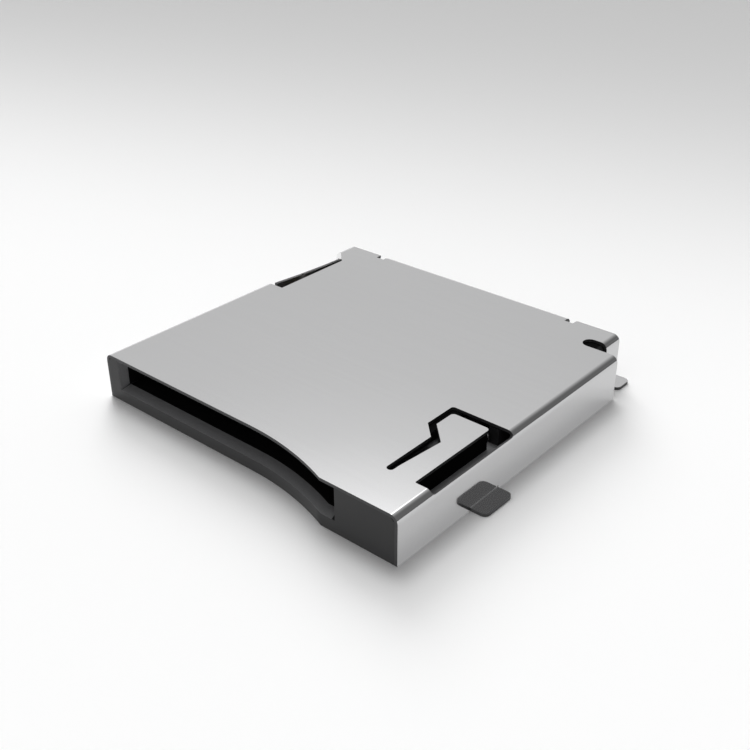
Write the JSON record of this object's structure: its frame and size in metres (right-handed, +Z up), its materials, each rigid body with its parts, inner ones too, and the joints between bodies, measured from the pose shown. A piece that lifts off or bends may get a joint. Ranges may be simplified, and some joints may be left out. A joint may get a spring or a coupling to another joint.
{
  "type": "sd card socket",
  "caption": "Low push-push memory card socket: folded steel shell over a black moulded housing, with spring contacts, eject slider, cam rod and coil spring.",
  "frame": {"origin": "middle of the box round the part, on the board plane", "axes": "+X towards the eject mechanism's side, +Y from the card mouth towards the solder tails, +Z up from the board"},
  "size_m": [0.034, 0.032, 0.0039],
  "materials": {
    "steel": "bright cold-rolled stainless sheet",
    "moulding": "black glass-filled moulding",
    "contact_metal": "plated phosphor bronze",
    "slider_plastic": "dark grey moulding",
    "spring_steel": "stainless spring wire and strip"
  },
  "bodies": {
    "frame": {"shell": "steel", "housing": "moulding", "contact_1": "contact_metal", "contact_2": "contact_metal", "contact_3": "contact_metal", "contact_4": "contact_metal", "contact_5": "contact_metal", "contact_6": "contact_metal", "contact_7": "contact_metal", "contact_8": "contact_metal", "contact_9": "contact_metal", "detect_leaf": "contact_metal", "detect_post": "contact_metal", "protect_leaf": "contact_metal", "protect_post": "contact_metal", "coil_spring": "spring_steel"},
    "slider_body": {"slider": "slider_plastic", "lock_leaf": "spring_steel"},
    "rod_body": {"link_rod": "spring_steel"}
  },
  "joints": [
    {"name": "slide", "type": "slide", "parent": "frame", "child": "slider_body", "axis": [0, 1, 0], "range_m": [0, 0.0045], "stiffness_N_per_m": 150, "springref_m": -0.002, "deforming": ["coil_spring"]},
    {"name": "rod_swing", "type": "hinge", "parent": "frame", "child": "rod_body", "pos_m": [0.01225, -0.0138, 0.0033], "axis": [0, 0, -1], "range_deg": [0, 5.1]}
  ],
  "couplings": [
    {"joint": "rod_swing", "follows": "slide", "rad_per_m": 19.58}
  ]
}
